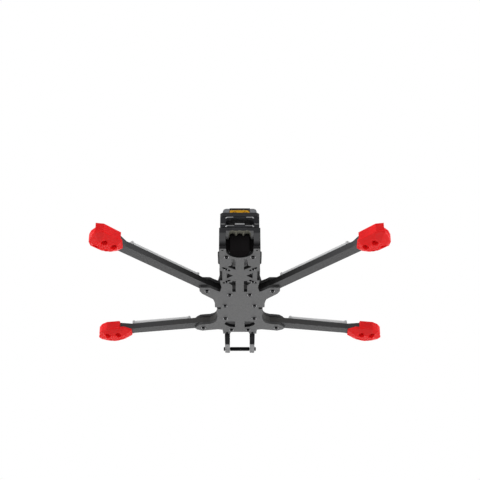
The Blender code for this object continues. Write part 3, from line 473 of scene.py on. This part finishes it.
# pale grey for the chamfer bars: painted highlight
greyAlloy = grainFinish("greyAlloy", {
    "rough": 0.45, "metal": 0.0, "specular": 0.3, "tooth": 0.08,
    "dark": (0.15, 0.15, 0.155), "light": (0.20, 0.20, 0.205),
})
slatePlate = grainFinish("slatePlate", {
    "rough": 0.5, "metal": 0.0, "specular": 0.06, "tooth": 0.10,
    "dark": (0.019, 0.019, 0.022), "light": (0.035, 0.036, 0.040),
})
# pale flanks and a pale strip with an olive middle: painted light; dark foot: painted shade
bumperShell = litFlankFinish("bumperShell", {
    "rough": 0.5, "specular": 0.08, "tooth": 0.08,
    "dark": (0.025, 0.0255, 0.028), "light": (0.039, 0.040, 0.043),
    "flank": (0.086, 0.087, 0.090), "flankFrom": 0.0125, "flankTo": 0.0135,
    "fadeFrom": 0.0205, "fadeTo": 0.0222,
    "strip": (0.140, 0.140, 0.142), "core": (0.146, 0.139, 0.108), "coreRange": (0.0065, 0.0105),
    "stripX": 0.0131, "stripLow": 0.0172, "stripHigh": 0.0238,
    "foot": (0.006, 0.006, 0.007), "footFrom": 0.0092, "footTo": 0.0135,
})
# paler olive on the groove ceilings: painted light
oliveLining = grainFinish("oliveLining", {
    "rough": 0.6, "metal": 0.0, "specular": 0.1, "tooth": 0.10,
    "dark": (0.12, 0.118, 0.095), "light": (0.16, 0.157, 0.128),
})
# near-black inside the hex sockets: painted shade
darkRecess = grainFinish("darkRecess", {
    "rough": 0.9, "metal": 0.0, "specular": 0.0, "tooth": 0.10,
    "dark": (0.003, 0.003, 0.003), "light": (0.006, 0.006, 0.006),
})
# bright flanks and near-black front and back of the dome: painted reflection
screwSteel = screwFinish("screwSteel", {
    "rough": 0.40, "metal": 0.0, "specular": 0.06, "domeFrom": 0.93, "flankRange": (0.60, 0.80),
    "crownDark": (0.12, 0.12, 0.125), "crownLight": (0.16, 0.16, 0.165),
    "side": (0.004, 0.004, 0.005), "flank": (0.52, 0.52, 0.53),
})
steel = grainFinish("steel", {
    "rough": 0.32, "metal": 0.8, "specular": 0.4, "tooth": 0.05,
    "dark": (0.30, 0.30, 0.31), "light": (0.42, 0.42, 0.43),
})
amber = grainFinish("amber", {
    "rough": 0.45, "metal": 0.0, "specular": 0.1, "tooth": 0.08,
    "dark": (0.76, 0.37, 0.012), "light": (0.88, 0.45, 0.018),
})
gold = grainFinish("gold", {
    "rough": 0.25, "metal": 1.0, "specular": 0.5, "tooth": 0.03,
    "dark": (0.72, 0.47, 0.15), "light": (0.86, 0.60, 0.22),
})
print("finishes made:", len(bpy.data.materials))


# mesh helpers: angles in degrees, and broad flat faces keep one normal so that rounded edges don't tint them
meshSettings = {
    "weld": 0.000001, "spunWeld": 0.0000005, "flatAngle": 0.5, "smoothBelow": 35, "flatFrom": 0.00002,
}


def copyNode(node):
    shape = bmesh.new()
    shape.from_mesh(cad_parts[node].data)
    bmesh.ops.remove_doubles(shape, verts=shape.verts, dist=meshSettings["weld"])
    bmesh.ops.dissolve_limit(
        shape, angle_limit=math.radians(meshSettings["flatAngle"]), verts=shape.verts, edges=shape.edges)
    return shape


def softenEdges(shape, width, segments, sharpest=40):
    limit = math.radians(sharpest)
    edges = [e for e in shape.edges if len(e.link_faces) == 2 and e.calc_face_angle() > limit]
    bmesh.ops.bevel(
        shape, geom=edges, offset=width, segments=segments, profile=0.5, affect="EDGES", material=-1,
        clamp_overlap=True)


def addPiece(shape, name, finishes, nodes=()):
    mesh = bpy.data.meshes.new(name)
    shape.to_mesh(mesh)
    shape.free()
    for finish in finishes if isinstance(finishes, list) else [finishes]:
        mesh.materials.append(finish)
    mesh.shade_smooth()
    mesh.set_sharp_from_angle(angle=math.radians(meshSettings["smoothBelow"]))
    for face in mesh.polygons:
        face.use_smooth = face.area < meshSettings["flatFrom"]
    piece = bpy.data.objects.new(name, mesh)
    scene.collection.objects.link(piece)
    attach(piece, "root")
    if nodes:
        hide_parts(*nodes)


def spunShape(profile, steps, closed=False):
    shape = bmesh.new()
    points = [shape.verts.new((radius, 0.0, level)) for radius, level in profile]
    edges = [shape.edges.new(pair) for pair in zip(points, points[1:])]
    if closed:
        edges.append(shape.edges.new((points[-1], points[0])))
    bmesh.ops.spin(
        shape, geom=points + edges, cent=(0, 0, 0), axis=(0, 0, 1), angle=2 * math.pi, steps=steps,
        use_merge=True)
    bmesh.ops.remove_doubles(shape, verts=shape.verts, dist=meshSettings["spunWeld"])
    bmesh.ops.recalc_face_normals(shape, faces=shape.faces)
    return shape


def blockShape(low, high):
    shape = bmesh.new()
    size = [b - a for a, b in zip(low, high)]
    middle = [(a + b) / 2 for a, b in zip(low, high)]
    place = Matrix.Translation(middle) @ Matrix.Diagonal(size + [1.0])
    bmesh.ops.create_cube(shape, size=1.0, matrix=place)
    return shape


def placeShape(shape, place):
    bmesh.ops.transform(shape, matrix=place, verts=shape.verts)
    bmesh.ops.recalc_face_normals(shape, faces=shape.faces)
    return shape


def camel(node):
    words = node.split("_")
    return words[0] + "".join(word.capitalize() for word in words[1:])


# plates and arms: cut carbon with a light break on every edge
plateSettings = {
    "bottom_plate": (bellyCarbon, 0.00025), "mid_plate": (midCarbon, 0.00020),
    "top_plate": (deckCarbon, 0.00025), "arm_rear_left": (rearArmCarbon, 0.00035),
    "arm_rear_right": (rearArmCarbon, 0.00035), "arm_front_left": (frontArmCarbon, 0.00035),
    "arm_front_right": (frontArmCarbon, 0.00035),
}
for node, (finish, width) in plateSettings.items():
    shape = copyNode(node)
    softenEdges(shape, width, 2)
    addPiece(shape, camel(node), finish, [node])
print("plates dressed:", len(plateSettings))

# motor feet: soft printed boots with rounded corners
footSettings = {"rounding": 0.0006, "segments": 3, "sharpest": 25}
for end, hand in corners:
    node = "foot_%s_%s" % (end, hand)
    shape = copyNode(node)
    softenEdges(shape, footSettings["rounding"], footSettings["segments"], footSettings["sharpest"])
    addPiece(shape, camel(node), redPrint, [node])
print("feet dressed:", len(corners))

# tail, camera cage and socket: pieces that keep their solid's form, with eased edges
easedSettings = {
    "rear_frame": (slatePlate, 0.0003, "carbon_laminate"),
    "cable_boot": (blackPrint, 0.0003, "black_soft_plastic"),
    "socket_holder": (greyPrint, 0.0004, "black_soft_plastic"),
    "power_socket": (amber, 0.0003, "amber_plastic"),
    "cage_crossbar": (blackAlloy, 0.0002, "black_alloy"),
}
for node, (finish, width, slot) in easedSettings.items():
    shape = copyNode(node)
    softenEdges(shape, width, 2)
    addPiece(shape, camel(node), finish, [node])

# rear bumper: shell whose downward ceilings over the cable grooves are a paler olive, painted light
bumperSettings = {"rounding": 0.0004, "liningFrom": 0.0205, "liningFacing": -0.2}
shape = copyNode("rear_bumper")
softenEdges(shape, bumperSettings["rounding"], 2)
shape.normal_update()
for face in shape.faces:
    downward = face.normal.z < bumperSettings["liningFacing"]
    if downward and face.calc_center_median().z > bumperSettings["liningFrom"]:
        face.material_index = 1
addPiece(shape, "rearBumper", [bumperShell, oliveLining], ["rear_bumper"])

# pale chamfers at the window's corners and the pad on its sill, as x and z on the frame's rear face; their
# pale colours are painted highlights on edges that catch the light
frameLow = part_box("rear_frame")[0]
chamferSettings = {
    "thick": 0.0010, "deep": 0.0012, "proud": 0.0003, "rounding": 0.0003, "overlap": 0.4,
    "lines": [
        ((0.0064, 0.0387), (0.0120, 0.0387), chamferGrey),
        ((0.0120, 0.0387), (0.0134, 0.0377), palePlastic),
        ((0.0054, 0.0294), (0.0119, 0.0294), greyAlloy),
        ((0.0119, 0.0294), (0.0134, 0.0283), palePlastic),
        ((0.0142, 0.0311), (0.0180, 0.0311), greyAlloy),
    ],
}
for hand, side in hands.items():
    for count, (first, last, finish) in enumerate(chamferSettings["lines"], 1):
        run = Vector((last[0] - first[0], 0, last[1] - first[1]))
        half = (run.length + chamferSettings["thick"] * chamferSettings["overlap"]) / 2
        shape = blockShape(
            (-half, -chamferSettings["proud"], -chamferSettings["thick"] / 2),
            (half, chamferSettings["deep"], chamferSettings["thick"] / 2))
        softenEdges(shape, chamferSettings["rounding"], 2)
        middle = ((first[0] + last[0]) / 2, frameLow[1], (first[1] + last[1]) / 2)
        place = Matrix.Translation(middle) @ Matrix.Rotation(-math.atan2(run.z, run.x), 4, "Y")
        placeShape(shape, Matrix.Diagonal((side, 1, 1, 1)) @ place)
        addPiece(shape, "windowChamfer%s%d" % (hand.capitalize(), count), finish)
padSettings = {
    "half": 0.0047, "low": 0.0303, "high": 0.0322, "proud": 0.0003, "deep": 0.0028, "rounding": 0.0008,
}
shape = blockShape(
    (-padSettings["half"], frameLow[1] - padSettings["proud"], padSettings["low"]),
    (padSettings["half"], frameLow[1] + padSettings["deep"], padSettings["high"]))
softenEdges(shape, padSettings["rounding"], 3)
addPiece(shape, "sillPad", chamferGrey)
print("tail dressed:", len(easedSettings) + 1)

# black lip over the socket's mouth, and its two gold contacts
socketLow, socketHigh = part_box("power_socket")
holderLow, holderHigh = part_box("socket_holder")
lipSettings = {"half": 0.0098, "proud": 0.0002, "rise": 0.0003, "drop": 0.0013, "rounding": 0.0002}
shape = blockShape(
    (-lipSettings["half"], holderLow[1] - lipSettings["proud"], holderHigh[2] - lipSettings["drop"]),
    (lipSettings["half"], holderHigh[1], holderHigh[2] + lipSettings["rise"]))
softenEdges(shape, lipSettings["rounding"], 2)
addPiece(shape, "socketLip", blackPrint)

contactSettings = {
    "x": 0.0050, "outer": 0.0024, "inner": 0.0017, "start": 0.0009, "length": 0.0066, "lip": 0.0002,
    "steps": 32,
}


def contactShape():
    outer, inner, lip = (contactSettings[key] for key in ("outer", "inner", "lip"))
    length = contactSettings["length"]
    profile = [
        (inner + lip, 0.0), (outer - lip, 0.0), (outer, lip), (outer, length), (inner, length), (inner, lip),
    ]
    return spunShape(profile, contactSettings["steps"], closed=True)


for hand, side in hands.items():
    shape = contactShape()
    level = (socketLow[2] + socketHigh[2]) / 2
    spot = (side * contactSettings["x"], socketLow[1] + contactSettings["start"], level)
    placeShape(shape, Matrix.Translation(spot) @ Matrix.Rotation(-math.pi / 2, 4, "X"))
    addPiece(shape, "contact" + hand.capitalize(), gold)
print("socket detailed")

# camera cage: dark side plates that end in pale round noses
cageSettings = {
    "noseRadius": 0.0044, "noseBack": 0.0218, "noseTop": 0.0062, "edge": 0.0004, "bore": 0.0017,
    "chamfer": 0.0006, "steps": 48,
}
barLow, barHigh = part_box("cage_crossbar")
barY = (barLow[1] + barHigh[1]) / 2
barZ = (barLow[2] + barHigh[2]) / 2
noseStart = barY - cageSettings["noseBack"]
noseTop = barZ + cageSettings["noseTop"]
for hand in hands:
    node = "camera_plate_" + hand
    plateLow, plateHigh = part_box(node)
    shape = copyNode(node)
    softenEdges(shape, cageSettings["edge"], 2)
    for spot, way in (((0, noseStart, 0), (0, 1, 0)), ((0, 0, noseTop), (0, 0, 1))):
        geometry = list(shape.verts) + list(shape.edges) + list(shape.faces)
        bmesh.ops.bisect_plane(shape, geom=geometry, plane_co=spot, plane_no=way)
    for face in shape.faces:
        middle = face.calc_center_median()
        face.material_index = int(middle.y > noseStart and middle.z < noseTop)
    addPiece(shape, camel(node), [cageAlloy, noseAlloy], [node])
    width = plateHigh[0] - plateLow[0]
    radius, bore, chamfer = (cageSettings[key] for key in ("noseRadius", "bore", "chamfer"))
    profile = [
        (bore, 0.0), (radius - chamfer, 0.0), (radius, chamfer), (radius, width - chamfer),
        (radius - chamfer, width), (bore, width),
    ]
    shape = spunShape(profile, cageSettings["steps"], closed=True)
    placeShape(shape, Matrix.Translation((plateLow[0], barY, barZ)) @ Matrix.Rotation(math.pi / 2, 4, "Y"))
    addPiece(shape, "cageNose" + hand.capitalize(), noseAlloy)
print("camera cage detailed")

# light bars: a tray on the arm, a frosted cover and two end caps
barSettings = {
    "trayRise": 0.0017, "coverHalf": 0.0036, "coverRounding": 0.0013, "coverSegments": 5,
    "capLength": 0.0026, "capRounding": 0.0006, "edge": 0.0003,
}
topReach = 0.0001  # edges this near the top of a cover are rounded
for end, hand in corners:
    node = "led_bar_%s_%s" % (end, hand)
    place = armPlace(end, hand)
    back = place.inverted()
    spots = [back @ v.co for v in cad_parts[node].data.vertices]
    lowest = [min(s[i] for s in spots) for i in range(3)]
    highest = [max(s[i] for s in spots) for i in range(3)]
    inner, outer = lowest[0], highest[0]
    half = highest[1]
    base, top = lowest[2], highest[2]
    cap = barSettings["capLength"]
    shape = blockShape((inner, -half, base), (outer, half, base + barSettings["trayRise"]))
    softenEdges(shape, barSettings["edge"], 2)
    addPiece(placeShape(shape, place), camel(node), palePlastic, [node])
    shape = blockShape(
        (inner + cap / 2, -barSettings["coverHalf"], base + barSettings["trayRise"] / 2),
        (outer - cap / 2, barSettings["coverHalf"], top))
    edges = [e for e in shape.edges if all(v.co.z > top - topReach for v in e.verts)]
    bmesh.ops.bevel(
        shape, geom=edges, offset=barSettings["coverRounding"], segments=barSettings["coverSegments"],
        profile=0.5, affect="EDGES", material=-1)
    addPiece(placeShape(shape, place), camel(node) + "Cover", frostedCover)
    for label, start in (("Inner", inner), ("Outer", outer - cap)):
        shape = blockShape((start, -half, base), (start + cap, half, top))
        softenEdges(shape, barSettings["capRounding"], 3)
        addPiece(placeShape(shape, place), camel(node) + label + "Cap", palePlastic)
print("light bars detailed:", len(corners))

# screws: button heads with six sided sockets and ridged shanks
screwSettings = {
    "bolt": {
        "head": 0.0024, "height": 0.0015, "shank": 0.0015, "hex": 0.00135, "depth": 0.0013, "pitch": 0.0005},
    "stud": {
        "head": 0.0017, "height": 0.0012, "shank": 0.0010, "hex": 0.00090, "depth": 0.0010, "pitch": 0.0004},
    "cage": {
        "head": 0.0024, "height": 0.0016, "shank": 0.0014, "hex": 0.00100, "depth": 0.0010, "pitch": 0.0005},
}
# the head's outline as shares of its radius and height, and the thread's as shares of its pitch
headCurve = [(0.62, 0.0), (0.72, 0.05), (0.84, 0.22), (0.94, 0.48), (1.0, 0.80), (0.98, 1.0)]
threadCurve = {"depth": 0.28, "flat": 0.5, "root": 0.75}
screwSteps = 30


def screwShape(kind, length):
    spec = screwSettings[kind]
    profile = [(spec["head"] * wide, spec["height"] * rise) for wide, rise in headCurve]
    ridge = spec["pitch"] * threadCurve["depth"]
    level = spec["height"]
    profile.append((spec["shank"], level))
    while level + spec["pitch"] < length - spec["pitch"]:
        profile.append((spec["shank"], level + spec["pitch"] * threadCurve["flat"]))
        profile.append((spec["shank"] - ridge, level + spec["pitch"] * threadCurve["root"]))
        profile.append((spec["shank"], level + spec["pitch"]))
        level += spec["pitch"]
    profile += [(spec["shank"], length - ridge), (spec["shank"] - ridge, length), (0.0, length)]
    shape = spunShape(profile, screwSteps)
    rim = [e for e in shape.edges if len(e.link_faces) == 1]
    made = bmesh.ops.create_circle(shape, cap_ends=False, radius=spec["hex"], segments=6)
    hexagon = list({e for v in made["verts"] for e in v.link_edges})
    bmesh.ops.bridge_loops(shape, edges=rim + hexagon)
    walls = bmesh.ops.extrude_edge_only(shape, edges=hexagon)["geom"]
    floorPoints = [g for g in walls if isinstance(g, bmesh.types.BMVert)]
    bmesh.ops.translate(shape, vec=(0, 0, spec["depth"]), verts=floorPoints)
    wallEdges = [g for g in walls if isinstance(g, bmesh.types.BMEdge)]
    floorEdges = [e for e in wallEdges if all(v in floorPoints for v in e.verts)]
    cap = bmesh.ops.edgeloop_fill(shape, edges=floorEdges)["faces"]
    for face in cap + [g for g in walls if isinstance(g, bmesh.types.BMFace)]:
        face.material_index = 1
    return shape


screwWords = ("_bolt_", "_stud_", "top_screw", "cage_screw")
screwNames = [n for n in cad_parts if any(word in n for word in screwWords)]
for node in sorted(screwNames):
    low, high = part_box(node)
    middle = [(a + b) / 2 for a, b in zip(low, high)]
    if "cage" in node:
        shape = screwShape("cage", high[0] - low[0])
        side = 1 if middle[0] > 0 else -1
        outside = high[0] if side > 0 else low[0]
        place = Matrix.Translation((outside, barY, barZ)) @ Matrix.Rotation(-side * math.pi / 2, 4, "Y")
    elif "top" in node:
        shape = screwShape("bolt", high[2] - low[2])
        place = Matrix.Translation((middle[0], middle[1], high[2])) @ Matrix.Rotation(math.pi, 4, "X")
    else:
        shape = screwShape("stud" if "stud" in node else "bolt", high[2] - low[2])
        place = Matrix.Translation((middle[0], middle[1], low[2]))
    addPiece(placeShape(shape, place), camel(node), [screwSteel, darkRecess], [node])
print("screws detailed:", len(screwNames))

# collars on the four small studs, seated on the belly plate
collarSettings = {"radius": 0.0023, "rise": 0.0016, "lift": 0.0003, "edge": 0.00025}
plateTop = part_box("bottom_plate")[1][2]
studNames = sorted(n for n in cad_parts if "_stud_" in n)
for node in studNames:
    low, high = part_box(node)
    spot = ((low[0] + high[0]) / 2, (low[1] + high[1]) / 2, plateTop + collarSettings["lift"])
    shape = bmesh.new()
    bmesh.ops.create_circle(shape, cap_ends=True, radius=collarSettings["radius"], segments=6)
    grown = bmesh.ops.extrude_face_region(shape, geom=list(shape.faces))["geom"]
    lifted = [g for g in grown if isinstance(g, bmesh.types.BMVert)]
    bmesh.ops.translate(shape, vec=(0, 0, collarSettings["rise"]), verts=lifted)
    bmesh.ops.recalc_face_normals(shape, faces=shape.faces)
    softenEdges(shape, collarSettings["edge"], 2)
    addPiece(placeShape(shape, Matrix.Translation(spot)), camel(node) + "Collar", steel)

# nuts on the stack bolts
nutSettings = {"rounding": 0.0003, "segments": 3}
nutNames = sorted(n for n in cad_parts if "_nut_" in n)
for node in nutNames:
    shape = copyNode(node)
    softenEdges(shape, nutSettings["rounding"], nutSettings["segments"])
    addPiece(shape, camel(node), steel, [node])
print("nuts and collars detailed:", len(nutNames) + len(studNames))

# standoffs: turned posts with a groove near each end
postSettings = {
    "outer": 0.0025, "inner": 0.0018, "chamfer": 0.0003, "groove": 0.0002, "grooveAt": 0.0022, "steps": 40,
}
postNames = sorted(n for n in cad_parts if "_standoff_" in n)
for node in postNames:
    low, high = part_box(node)
    length = high[2] - low[2]
    outer, inner, cut = (postSettings[key] for key in ("outer", "inner", "chamfer"))
    groove, at = (postSettings[key] for key in ("groove", "grooveAt"))
    profile = [(inner, 0.0), (outer - cut, 0.0), (outer, cut)]
    for centre in (at, length - at):
        profile += [(outer, centre - groove * 2), (outer - groove, centre - groove)]
        profile += [(outer - groove, centre + groove), (outer, centre + groove * 2)]
    profile += [(outer, length - cut), (outer - cut, length), (inner, length)]
    shape = spunShape(profile, postSettings["steps"], closed=True)
    spot = ((low[0] + high[0]) / 2, (low[1] + high[1]) / 2, low[2])
    addPiece(placeShape(shape, Matrix.Translation(spot)), camel(node), blackAlloy, [node])
print("standoffs detailed:", len(postNames))

# camera at the photograph's place, below and behind the tail
cameraSettings = {
    "place": (0.00025, -0.97898, -0.48432), "tilt": 119.659, "lens": 80, "sensor": 36, "nearest": 0.01,
}
eye = bpy.data.cameras.new("photoCamera")
eye.lens = cameraSettings["lens"]
eye.sensor_width = cameraSettings["sensor"]
eye.clip_start = cameraSettings["nearest"]
viewer = bpy.data.objects.new("photoCamera", eye)
viewer.location = cameraSettings["place"]
viewer.rotation_euler = (math.radians(cameraSettings["tilt"]), 0, 0)
scene.collection.objects.link(viewer)
scene.camera = viewer

# lamps: broad and soft, strongest under the belly
lampSettings = {
    "under": {"from": (0.05, 0.05, -1.0), "level": 0.62, "spread": 50},
    "over": {"from": (-0.2, -0.3, 1.0), "level": 0.55, "spread": 60},
    "leftSide": {"from": (-1.0, 0.1, -0.1), "level": 0.50, "spread": 50},
    "rightSide": {"from": (1.0, 0.1, -0.1), "level": 0.50, "spread": 50},
    "nose": {"from": (0.0, 1.0, 0.1), "level": 0.35, "spread": 50},
}
for name, settings in lampSettings.items():
    lamp = bpy.data.lights.new(name, "SUN")
    lamp.energy = math.pi * settings["level"]
    lamp.angle = math.radians(settings["spread"])
    holder = bpy.data.objects.new(name, lamp)
    holder.rotation_euler = Vector(settings["from"]).to_track_quat("Z", "Y").to_euler()
    scene.collection.objects.link(holder)

# world: white behind the object, a lower even level as light
worldSettings = {"level": 0.40}
world = bpy.data.worlds.new("studio")
scene.world = world
world.use_nodes = True
tree = world.node_tree
backdrop = tree.nodes["Background"]
path = tree.nodes.new("ShaderNodeLightPath")
seen = math1(tree, "MAXIMUM", path.outputs["Is Camera Ray"], path.outputs["Is Glossy Ray"])
seen = math1(tree, "MAXIMUM", seen, path.outputs["Is Transmission Ray"])
backdrop.inputs["Color"].default_value = (1.0, 1.0, 1.0, 1.0)
link(tree, spread(tree, seen, worldSettings["level"], 1.0, 0.0, 1.0), backdrop.inputs["Strength"])

# floor: pale from above with the object's shadow on it, clear from below
floorSettings = {"half": 3.0, "drop": 0.0004, "rough": 0.9, "colour": (0.86, 0.86, 0.86, 1.0)}
shape = bmesh.new()
bmesh.ops.create_grid(
    shape, x_segments=1, y_segments=1, size=floorSettings["half"],
    matrix=Matrix.Translation((0, 0, -floorSettings["drop"])))
mesh = bpy.data.meshes.new("floor")
shape.to_mesh(mesh)
shape.free()
floor = bpy.data.objects.new("floor", mesh)
scene.collection.objects.link(floor)
paper = bpy.data.materials.new("paleFloor")
paper.use_nodes = True
tree = paper.node_tree
shader = tree.nodes["Principled BSDF"]
shader.inputs["Base Color"].default_value = floorSettings["colour"]
shader.inputs["Roughness"].default_value = floorSettings["rough"]
clear = tree.nodes.new("ShaderNodeBsdfTransparent")
path = tree.nodes.new("ShaderNodeLightPath")
side = tree.nodes.new("ShaderNodeNewGeometry")
shown = math1(tree, "SUBTRACT", path.outputs["Is Camera Ray"], side.outputs["Backfacing"])
mixed = tree.nodes.new("ShaderNodeMixShader")
link(tree, math1(tree, "MAXIMUM", shown, 0.0), mixed.inputs["Fac"])
link(tree, clear.outputs[0], mixed.inputs[1])
link(tree, shader.outputs[0], mixed.inputs[2])
link(tree, mixed.outputs[0], tree.nodes["Material Output"].inputs["Surface"])
mesh.materials.append(paper)

scene.view_settings.view_transform = "Standard"
